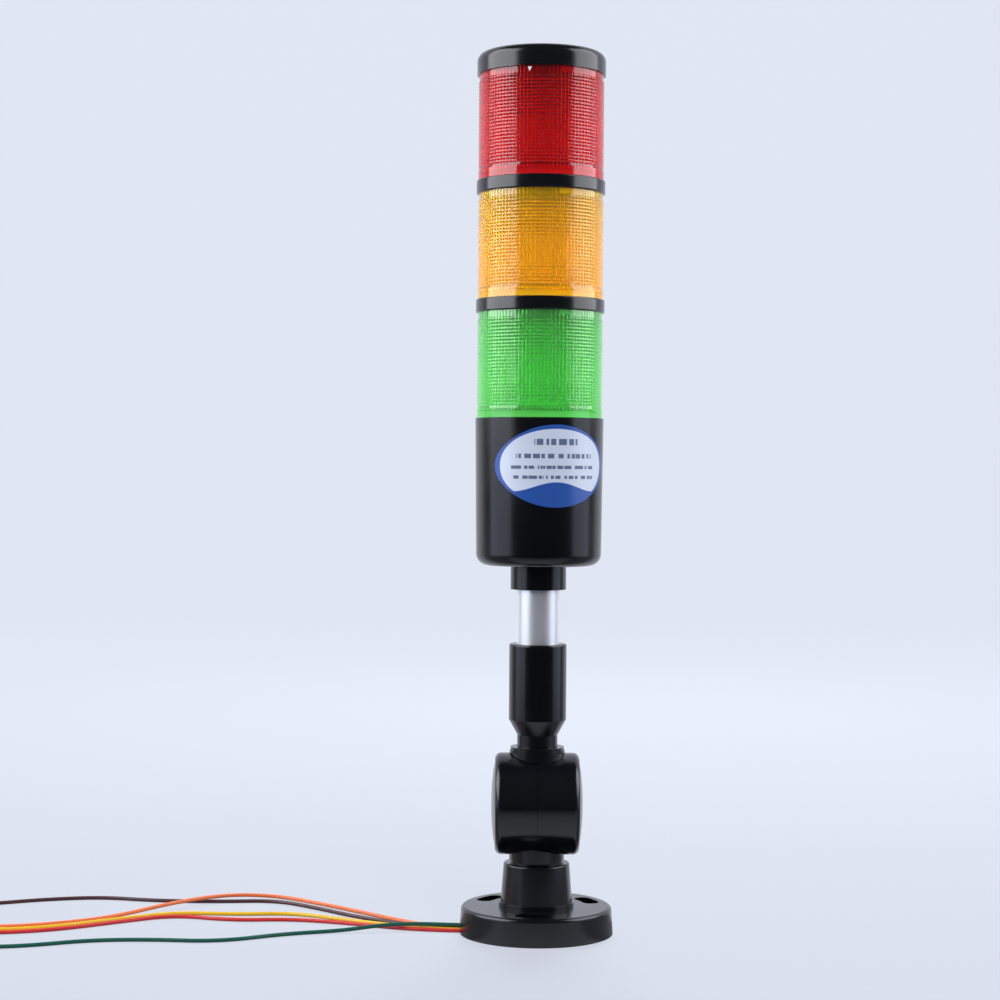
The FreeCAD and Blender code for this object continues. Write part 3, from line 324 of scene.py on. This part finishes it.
# Moulded and extruded plastics. Grain in millimetres, coarser than the real one so that it shows
plastics = {
    # Injection-moulded ABS with a satin mould: nearly black, with soft broad highlights
    "black_abs": {"colour": "#0a0c10", "roughness": 0.20, "grain": 0.35, "depth": 0.05},
    # Semi-gloss moulded ABS of the rings and the cap: as dark, with a finer and shallower grain
    "black_gloss": {"colour": "#0b0d11", "roughness": 0.20, "grain": 0.30, "depth": 0.03},
    # Moulded nylon of the carriers, top plate and ties: dark and dull
    "inner_black": {"colour": "#1b1b1c", "roughness": 0.50, "grain": 0.40, "depth": 0.05},
    # Moulded nitrile rubber: dark with hardly any shine
    "seal_rubber": {"colour": "#1a1a1a", "roughness": 0.65, "grain": 0.20, "depth": 0.06},
    # Pressed vulcanised fibre: brown and dry
    "fibre_washer": {"colour": "#7d5233", "roughness": 0.80, "grain": 0.15, "depth": 0.10},
    # Glass-fibre board under a white solder mask: pale with a low shine
    "board_green": {"colour": "#e4e6e2", "roughness": 0.35, "grain": 0.60, "depth": 0.02},
    # Moulded white bodies of the diodes: warm white and smooth
    "led_white": {"colour": "#efeadd", "roughness": 0.30, "grain": 0.50, "depth": 0.01},
    # Extruded PVC round a flexible wire: full colour with a soft streak of light along it
    "orange_insulation": {"colour": "#e8743c", "roughness": 0.38, "grain": 0.50, "depth": 0.02},
    "brown_insulation": {"colour": "#4a2c30", "roughness": 0.38, "grain": 0.50, "depth": 0.02},
    "yellow_insulation": {"colour": "#e6b91c", "roughness": 0.38, "grain": 0.50, "depth": 0.02},
    "red_insulation": {"colour": "#d03030", "roughness": 0.38, "grain": 0.50, "depth": 0.02},
    "green_insulation": {"colour": "#155648", "roughness": 0.38, "grain": 0.50, "depth": 0.02},
}
# What they share: slow patches of tint and gloss, sized in millimetres. The grain's height is in metres
plasticSkin = {"patch": 11.11, "patchDetail": 3.0, "tint": 0.08, "glossChange": 0.05,
               "grainDetail": 2.0, "height": 0.0002, "ior": 1.52}


def mouldedPlastic(name, spec):
    material, tree, shader = newMaterial(name)
    skin = plasticSkin
    place = addNode(tree, "ShaderNodeTexCoord").outputs["Object"]
    base = fromHex(spec["colour"])
    patches = addNode(tree, "ShaderNodeTexNoise", inputs={
        "Vector": place, "Scale": 1000 / skin["patch"], "Detail": skin["patchDetail"]})
    tint = addNode(tree, "ShaderNodeMix", data_type="RGBA", inputs={
        0: patches, 6: [c * (1 - skin["tint"]) for c in base[:3]] + [1],
        7: [min(c * (1 + skin["tint"]), 1) for c in base[:3]] + [1]})
    tree.links.new(tint.outputs[2], shader.inputs["Base Color"])
    rough = addNode(tree, "ShaderNodeMapRange", inputs={
        "Value": patches, "To Min": spec["roughness"] - skin["glossChange"],
        "To Max": spec["roughness"] + skin["glossChange"]})
    tree.links.new(rough.outputs[0], shader.inputs["Roughness"])
    grain = addNode(tree, "ShaderNodeTexNoise", inputs={
        "Vector": place, "Scale": 1000 / spec["grain"], "Detail": skin["grainDetail"]})
    bump = addNode(tree, "ShaderNodeBump", inputs={
        "Strength": spec["depth"], "Distance": skin["height"], "Height": grain})
    tree.links.new(bump.outputs[0], shader.inputs["Normal"])
    shader.inputs["IOR"].default_value = skin["ior"]
    return material


metals = {
    # Drawn aluminium, satin anodised: pale silver with a broad soft highlight along the tube
    "tube_aluminium": {"colour": "#f0f2f6", "roughness": 0.32, "metallic": 0.75},
    # Zinc-plated steel of the fasteners: light grey and fairly bright
    "zinc_steel": {"colour": "#b9bcc0", "roughness": 0.32, "metallic": 1.0},
    # Plated brass of the contact pins: yellow and bright
    "contact_brass": {"colour": "#d8b566", "roughness": 0.25, "metallic": 1.0},
}
# Fine drawing lines along Z: their width in millimetres, their height in metres
metalSkin = {"line": 0.4, "stretch": 0.01, "lineDetail": 3.0, "smoother": 0.06, "rougher": 0.08,
             "strength": 0.08, "height": 0.00005}


def metal(name, spec):
    material, tree, shader = newMaterial(name)
    skin = metalSkin
    place = addNode(tree, "ShaderNodeTexCoord").outputs["Object"]
    stretched = addNode(tree, "ShaderNodeMapping", inputs={
        "Vector": place, "Scale": (1, 1, skin["stretch"])})
    lines = addNode(tree, "ShaderNodeTexNoise", inputs={
        "Vector": stretched, "Scale": 1000 / skin["line"], "Detail": skin["lineDetail"]})
    rough = addNode(tree, "ShaderNodeMapRange", inputs={
        "Value": lines, "To Min": spec["roughness"] - skin["smoother"],
        "To Max": spec["roughness"] + skin["rougher"]})
    tree.links.new(rough.outputs[0], shader.inputs["Roughness"])
    bump = addNode(tree, "ShaderNodeBump", inputs={
        "Strength": skin["strength"], "Distance": skin["height"], "Height": lines})
    tree.links.new(bump.outputs[0], shader.inputs["Normal"])
    shader.inputs["Base Color"].default_value = fromHex(spec["colour"])
    shader.inputs["Metallic"].default_value = spec["metallic"]
    return material


# Lenses, from the lowest up: dye, how clear it is, and the level each stands at, in millimetres
lenses = {
    "green": {"colour": "#86ee80", "clear": 0.85, "level": 202.52},
    "amber": {"colour": "#ffd428", "clear": 0.82, "level": 249.02},
    "red": {"colour": "#e62428", "clear": 0.90, "level": 295.52},
}
# Faint flow marks: their size in millimetres, their height in metres
lensSkin = {"flow": 4.545, "flowDetail": 2.0, "strength": 0.04, "height": 0.0002,
            "roughness": 0.10, "ior": 1.585}


# Injection-moulded clear polycarbonate, dyed: glassy colour, bright glints on the ribs
def polycarbonate(name, spec):
    material, tree, shader = newMaterial(name)
    skin = lensSkin
    dye = fromHex(spec["colour"])
    place = addNode(tree, "ShaderNodeTexCoord").outputs["Object"]
    flow = addNode(tree, "ShaderNodeTexNoise", inputs={
        "Vector": place, "Scale": 1000 / skin["flow"], "Detail": skin["flowDetail"]})
    bump = addNode(tree, "ShaderNodeBump", inputs={
        "Strength": skin["strength"], "Distance": skin["height"], "Height": flow})
    tree.links.new(bump.outputs[0], shader.inputs["Normal"])
    shader.inputs["Base Color"].default_value = dye
    shader.inputs["Roughness"].default_value = skin["roughness"]
    shader.inputs["IOR"].default_value = skin["ior"]
    shader.inputs["Transmission Weight"].default_value = spec["clear"]
    # Lamp light reaches the insides tinted, where a glass shadow would be black
    shadow = addNode(tree, "ShaderNodeLightPath").outputs["Is Shadow Ray"]
    tinted = addNode(tree, "ShaderNodeBsdfTransparent", dye)
    mix = addNode(tree, "ShaderNodeMixShader", shadow, shader, tinted)
    tree.links.new(mix.outputs[0], tree.nodes["Material Output"].inputs[0])
    return material


# Label: place and size in millimetres and degrees. Rim, wave and lines are in shares of its half sizes,
# and each line has its level, half height and half length
label = {"azimuth": -75.5, "level": 183.8, "halfArc": 25.5, "halfHeight": 15.9, "radius": 25.0,
         "field": "#c6cedd", "blue": "#27509c", "ink": "#5c6884", "roughness": 0.28,
         "rim": 0.80, "waveTurns": 4.7, "waveHeight": 0.11, "waveLevel": -0.50,
         "barScale": 14.0, "barDetail": 1.0, "barGap": 0.45, "barShift": 10,
         "lines": ((0.58, 0.075, 0.34), (0.24, 0.055, 0.62), (-0.03, 0.04, 0.70), (-0.27, 0.04, 0.66))}


# Printed polyester film, smooth with a low sheen: pale field, blue rim and a blue wave at its foot
def printedLabel(name, spec):
    material, tree, shader = newMaterial(name)
    calc = "ShaderNodeMath"
    place = addNode(tree, "ShaderNodeTexCoord").outputs["Object"]
    axes = addNode(tree, "ShaderNodeSeparateXYZ", place).outputs
    azimuth = addNode(tree, calc, axes[1], axes[0], operation="ARCTAN2")
    stretch = spec["radius"] / spec["halfArc"]
    across = addNode(tree, calc, azimuth, stretch, -math.radians(spec["azimuth"]) * stretch,
                     operation="MULTIPLY_ADD")
    up = addNode(tree, calc, axes[2], 1 / (spec["halfHeight"] * mm),
                 -spec["level"] / spec["halfHeight"], operation="MULTIPLY_ADD")
    squareAcross = addNode(tree, calc, across, 2.0, operation="POWER")
    squareUp = addNode(tree, calc, up, 2.0, operation="POWER")
    reach = addNode(tree, calc, squareAcross, squareUp, operation="ADD")
    rim = addNode(tree, calc, reach, spec["rim"], operation="GREATER_THAN")
    swing = addNode(tree, calc, across, spec["waveTurns"], operation="MULTIPLY")
    wave = addNode(tree, calc, swing, operation="COSINE")
    crest = addNode(tree, calc, wave, spec["waveHeight"], spec["waveLevel"], operation="MULTIPLY_ADD")
    foot = addNode(tree, calc, up, crest, operation="LESS_THAN")
    blue = addNode(tree, calc, rim, foot, operation="MAXIMUM")
    # Noise along each line breaks it into plain bars
    ink = None
    for level, halfHeight, halfLength in spec["lines"]:
        tall = addNode(tree, calc, up, level, halfHeight, operation="COMPARE")
        wide = addNode(tree, calc, across, 0.0, halfLength, operation="COMPARE")
        line = addNode(tree, calc, tall, wide, operation="MULTIPLY")
        shifted = addNode(tree, calc, across, level * spec["barShift"], operation="ADD")
        crumbs = addNode(tree, "ShaderNodeTexNoise", noise_dimensions="1D", inputs={
            "W": shifted, "Scale": spec["barScale"], "Detail": spec["barDetail"]})
        kept = addNode(tree, calc, crumbs, spec["barGap"], operation="GREATER_THAN")
        bars = addNode(tree, calc, line, kept, operation="MULTIPLY")
        ink = bars if ink is None else addNode(tree, calc, ink, bars, operation="MAXIMUM")
    field = addNode(tree, "ShaderNodeMix", data_type="RGBA", inputs={
        0: ink, 6: fromHex(spec["field"]), 7: fromHex(spec["ink"])})
    colour = addNode(tree, "ShaderNodeMix", data_type="RGBA", inputs={
        0: blue, 6: field.outputs[2], 7: fromHex(spec["blue"])})
    tree.links.new(colour.outputs[2], shader.inputs["Base Color"])
    shader.inputs["Roughness"].default_value = spec["roughness"]
    return material


def addFinishes():
    made = {name: mouldedPlastic(name, spec) for name, spec in plastics.items()}
    made.update({name: metal(name, spec) for name, spec in metals.items()})
    made.update({f"{colour}_lens": polycarbonate(f"{colour}_lens", spec) for colour, spec in lenses.items()})
    made["label_film"] = printedLabel("label_film", label)
    slots = {part["node"]: part["material_slot"] for part in frame["record"]["subparts"]}
    for name, thing in frame["nodes"].items():
        thing.data.materials.clear()
        thing.data.materials.append(made[slots[name]])
    for colour, spec in leads.items():
        spec["wire"].data.materials.append(made[f"{colour}_insulation"])
    return made


finishes = addFinishes()
print("stage: finishes made")

# Lens shell, in millimetres: rounded ribs round the outside, upright flutes inside
lensShell = {"length": 41.26, "root": 24.32, "crest": 24.65, "bore": 22.2, "ribPitch": 1.31,
             "ribCount": 26, "ribStart": 4.6, "fluteCount": 96, "fluteDepth": 0.30, "band": 2.6,
             "ribRoundness": 1.0, "rowsPerRib": 5, "around": 384}
bandRows = 4      # rows in the plain band below the ribs, and in the one above
innerRows = 5     # rows in the inner wall
valleyNudge = 0.0001     # keeps a row in a valley from counting as the end of the rib below


# A grid wrapped round the axis: its rows climb the outer wall and come down the inner one
def lensTree(spec):
    tree = bpy.data.node_groups.new("lensShell", "GeometryNodeTree")
    named = {}
    for name, value in spec.items():
        kind = "NodeSocketInt" if isinstance(value, int) else "NodeSocketFloat"
        socket = tree.interface.new_socket(name, in_out="INPUT", socket_type=kind)
        socket.default_value = value
        named[name] = socket.identifier
    for name, kind in (("level", "NodeSocketFloat"), ("finish", "NodeSocketMaterial")):
        named[name] = tree.interface.new_socket(name, in_out="INPUT", socket_type=kind).identifier
    tree.interface.new_socket("shell", in_out="OUTPUT", socket_type="NodeSocketGeometry")
    given = addNode(tree, "NodeGroupInput").outputs
    calc = "ShaderNodeMath"
    pick = "GeometryNodeSwitch"

    # Rows and columns of the grid; up and turn run from 0 to 1 and once round
    ribRows = addNode(tree, calc, given["ribCount"], given["rowsPerRib"], operation="MULTIPLY")
    outerRows = addNode(tree, calc, ribRows, 2 * bandRows, operation="ADD")
    rows = addNode(tree, calc, outerRows, innerRows + 1, operation="ADD")
    columns = addNode(tree, calc, given["around"], 1.0, operation="ADD")
    grid = addNode(tree, "GeometryNodeMeshGrid", 1.0, 1.0, columns, rows)
    spot = addNode(tree, "ShaderNodeSeparateXYZ", addNode(tree, "GeometryNodeInputPosition")).outputs
    turn = addNode(tree, calc, spot[0], 2 * math.pi, math.pi, operation="MULTIPLY_ADD")
    up = addNode(tree, calc, spot[1], 0.5, operation="ADD")
    lastRow = addNode(tree, calc, rows, 1.0, operation="SUBTRACT")
    row = addNode(tree, calc, up, lastRow, operation="MULTIPLY")
    row = addNode(tree, calc, row, operation="ROUND")
    lastOuter = addNode(tree, calc, outerRows, 0.5, operation="ADD")
    isInner = addNode(tree, calc, row, lastOuter, operation="GREATER_THAN")

    # Outer wall: which part of it each row is in
    past = addNode(tree, calc, row, bandRows, operation="SUBTRACT")
    rib = addNode(tree, calc, past, given["rowsPerRib"], operation="DIVIDE")
    inBand = addNode(tree, calc, past, 0.0, operation="LESS_THAN")
    lastRib = addNode(tree, calc, ribRows, 0.5, operation="ADD")
    above = addNode(tree, calc, past, lastRib, operation="GREATER_THAN")

    # Its levels
    bandShare = addNode(tree, calc, row, 1 / bandRows, operation="MULTIPLY")
    bandLevel = addNode(tree, calc, bandShare, given["ribStart"], operation="MULTIPLY")
    ribLevel = addNode(tree, calc, rib, given["ribPitch"], given["ribStart"], operation="MULTIPLY_ADD")
    ribEnd = addNode(tree, calc, given["ribCount"], given["ribPitch"], given["ribStart"],
                     operation="MULTIPLY_ADD")
    topRow = addNode(tree, calc, past, ribRows, operation="SUBTRACT")
    topShare = addNode(tree, calc, topRow, 1 / bandRows, operation="MULTIPLY")
    topRoom = addNode(tree, calc, given["length"], ribEnd, operation="SUBTRACT")
    topLevel = addNode(tree, calc, topShare, topRoom, ribEnd, operation="MULTIPLY_ADD")
    lowLevel = addNode(tree, pick, inBand, ribLevel, bandLevel, input_type="FLOAT")
    outerLevel = addNode(tree, pick, above, lowLevel, topLevel, input_type="FLOAT")

    # Its radii, an arch for each rib
    nudged = addNode(tree, calc, rib, valleyNudge, operation="ADD")
    phase = addNode(tree, calc, nudged, operation="FRACT")
    halfTurn = addNode(tree, calc, phase, math.pi, operation="MULTIPLY")
    arch = addNode(tree, calc, halfTurn, operation="SINE")
    arch = addNode(tree, calc, arch, operation="ABSOLUTE")
    swell = addNode(tree, calc, arch, given["ribRoundness"], operation="POWER")
    depth = addNode(tree, calc, given["crest"], given["root"], operation="SUBTRACT")
    ribRadius = addNode(tree, calc, swell, depth, given["root"], operation="MULTIPLY_ADD")
    lowRadius = addNode(tree, pick, inBand, ribRadius, given["crest"], input_type="FLOAT")
    outerRadius = addNode(tree, pick, above, lowRadius, given["root"], input_type="FLOAT")

    # Inner wall, with flutes
    firstInner = addNode(tree, calc, outerRows, 1.0, operation="ADD")
    down = addNode(tree, calc, row, firstInner, operation="SUBTRACT")
    left = addNode(tree, calc, down, -1 / (innerRows - 1), 1.0, operation="MULTIPLY_ADD")
    innerRoom = addNode(tree, calc, given["length"], given["band"], operation="SUBTRACT")
    innerLevel = addNode(tree, calc, left, innerRoom, given["band"], operation="MULTIPLY_ADD")
    waves = addNode(tree, calc, given["fluteCount"], 0.5, operation="MULTIPLY")
    ripple = addNode(tree, calc, turn, waves, operation="MULTIPLY")
    ripple = addNode(tree, calc, ripple, operation="SINE")
    hollow = addNode(tree, calc, ripple, operation="ABSOLUTE")
    innerRadius = addNode(tree, calc, hollow, given["fluteDepth"], given["bore"], operation="MULTIPLY_ADD")

    radius = addNode(tree, pick, isInner, outerRadius, innerRadius, input_type="FLOAT")
    level = addNode(tree, pick, isInner, outerLevel, innerLevel, input_type="FLOAT")
    standing = addNode(tree, calc, level, given["level"], operation="ADD")
    x = addNode(tree, calc, radius, addNode(tree, calc, turn, operation="COSINE"), operation="MULTIPLY")
    y = addNode(tree, calc, radius, addNode(tree, calc, turn, operation="SINE"), operation="MULTIPLY")
    point = addNode(tree, "ShaderNodeCombineXYZ", x, y, standing)
    metres = addNode(tree, "ShaderNodeVectorMath", operation="SCALE", inputs={"Vector": point, "Scale": mm})
    moved = addNode(tree, "GeometryNodeSetPosition", inputs={"Geometry": grid, "Position": metres})
    closed = addNode(tree, "GeometryNodeMergeByDistance", inputs={"Geometry": moved, "Distance": 0.01 * mm})
    real = addNode(tree, "GeometryNodeRealizeInstances", closed)
    done = addNode(tree, "GeometryNodeSetMaterial", inputs={"Geometry": real, "Material": given["finish"]})
    addNode(tree, "NodeGroupOutput", done)
    return tree, named


# Bayonet foot under a lens, with a seal groove: radius and height of each corner, in millimetres
foot = ((22.6, 0.0), (22.6, -0.4), (21.9, -0.4), (21.9, -1.4), (22.6, -1.4), (22.6, -3.8),
        (20.8, -3.8), (20.8, 2.6))
rimTolerance = 0.1
# Three lugs on the foot and three hooks inside the lens's top: millimetres, and degrees for span
catches = {"lug": {"inner": 22.2, "outer": 23.7, "low": -3.5, "high": -1.9, "span": 20, "steps": 8},
           "hook": {"inner": 21.3, "outer": 22.5, "low": 39.46, "high": 41.26, "span": 25, "steps": 8}}
catchAzimuths = (-60, 60, 180)
catchCorners = (("inner", "low"), ("outer", "low"), ("outer", "high"), ("inner", "high"))


def turnedPoint(shape, radius, turn, height):
    return shape.verts.new((radius * math.cos(turn) * mm, radius * math.sin(turn) * mm, height * mm))


def addFoot(shape, level):
    around = lensShell["around"]
    turns = [math.pi + 2 * math.pi * i / around for i in range(around)]
    rows = [[turnedPoint(shape, radius, turn, level + height) for turn in turns]
            for radius, height in foot]
    for low, high in zip(rows, rows[1:]):
        for i in range(around):
            shape.faces.new((low[i - 1], low[i], high[i], high[i - 1]))
    # Its upper rims are joined to the shell's two open rims, at the outer wall's foot and the inner one's
    for height in (0.0, lensShell["band"]):
        rims = [e for e in shape.edges if e.is_boundary
                and all(abs(v.co.z - (level + height) * mm) < rimTolerance * mm for v in e.verts)]
        bmesh.ops.bridge_loops(shape, edges=rims)


def addCatches(shape, level):
    for spec in catches.values():
        for azimuth in catchAzimuths:
            sections = []
            for i in range(spec["steps"] + 1):
                turn = math.radians(azimuth + spec["span"] * (i / spec["steps"] - 0.5))
                sections.append([turnedPoint(shape, spec[side], turn, level + spec[end])
                                 for side, end in catchCorners])
            for a, b in zip(sections, sections[1:]):
                for k in range(len(catchCorners)):
                    shape.faces.new((a[k - 1], a[k], b[k], b[k - 1]))
            shape.faces.new(sections[0])
            shape.faces.new(sections[-1])


# The line-up arrow moulded on the red lens, under the cap: a triangle that points down
arrow = {"azimuth": -101.9, "top": 336.2, "height": 1.7, "width": 1.6, "inner": 24.2, "outer": 24.46}
arrowCorners = ((-0.5, 0.0), (0.5, 0.0), (0.0, -1.0))
arrowFaces = ((0, 2, 1), (3, 4, 5), (0, 1, 4, 3), (1, 2, 5, 4), (2, 0, 3, 5))


def addArrow(shape, spec):
    corners = []
    for radius in (spec["inner"], spec["outer"]):
        for across, level in arrowCorners:
            turn = math.radians(spec["azimuth"]) + across * spec["width"] / radius
            corners.append(turnedPoint(shape, radius, turn, spec["top"] + level * spec["height"]))
    for face in arrowFaces:
        shape.faces.new([corners[i] for i in face])


def addLenses():
    tree, named = lensTree(lensShell)
    for colour, spec in lenses.items():
        name = f"{colour}LensShell"
        holder = bpy.data.objects.new(name, bpy.data.meshes.new(name))
        scene.collection.objects.link(holder)
        modifier = holder.modifiers.new("lensShell", "NODES")
        modifier.node_group = tree
        for key, value in lensShell.items():
            modifier[named[key]] = value
        modifier[named["level"]] = spec["level"]
        modifier[named["finish"]] = finishes[f"{colour}_lens"]
        holder.update_tag()
        evaluated = holder.evaluated_get(bpy.context.evaluated_depsgraph_get())
        plain = bpy.data.meshes.new_from_object(evaluated)
        holder.modifiers.remove(modifier)
        holder.data = plain
        shape = bmesh.new()
        shape.from_mesh(plain)
        addFoot(shape, spec["level"])
        addCatches(shape, spec["level"])
        if colour == "red":
            addArrow(shape, arrow)
        bmesh.ops.recalc_face_normals(shape, faces=shape.faces)
        shape.to_mesh(plain)
        openEdges = sum(e.is_boundary for e in shape.edges)
        print(f"  {colour} lens {len(plain.polygons)} faces, open edges {openEdges}")
        shape.free()
        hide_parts(f"{colour}_lens")
        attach(holder, f"{colour}_tier")


addLenses()
print("stage: lenses turned")

bpy.context.view_layer.update()
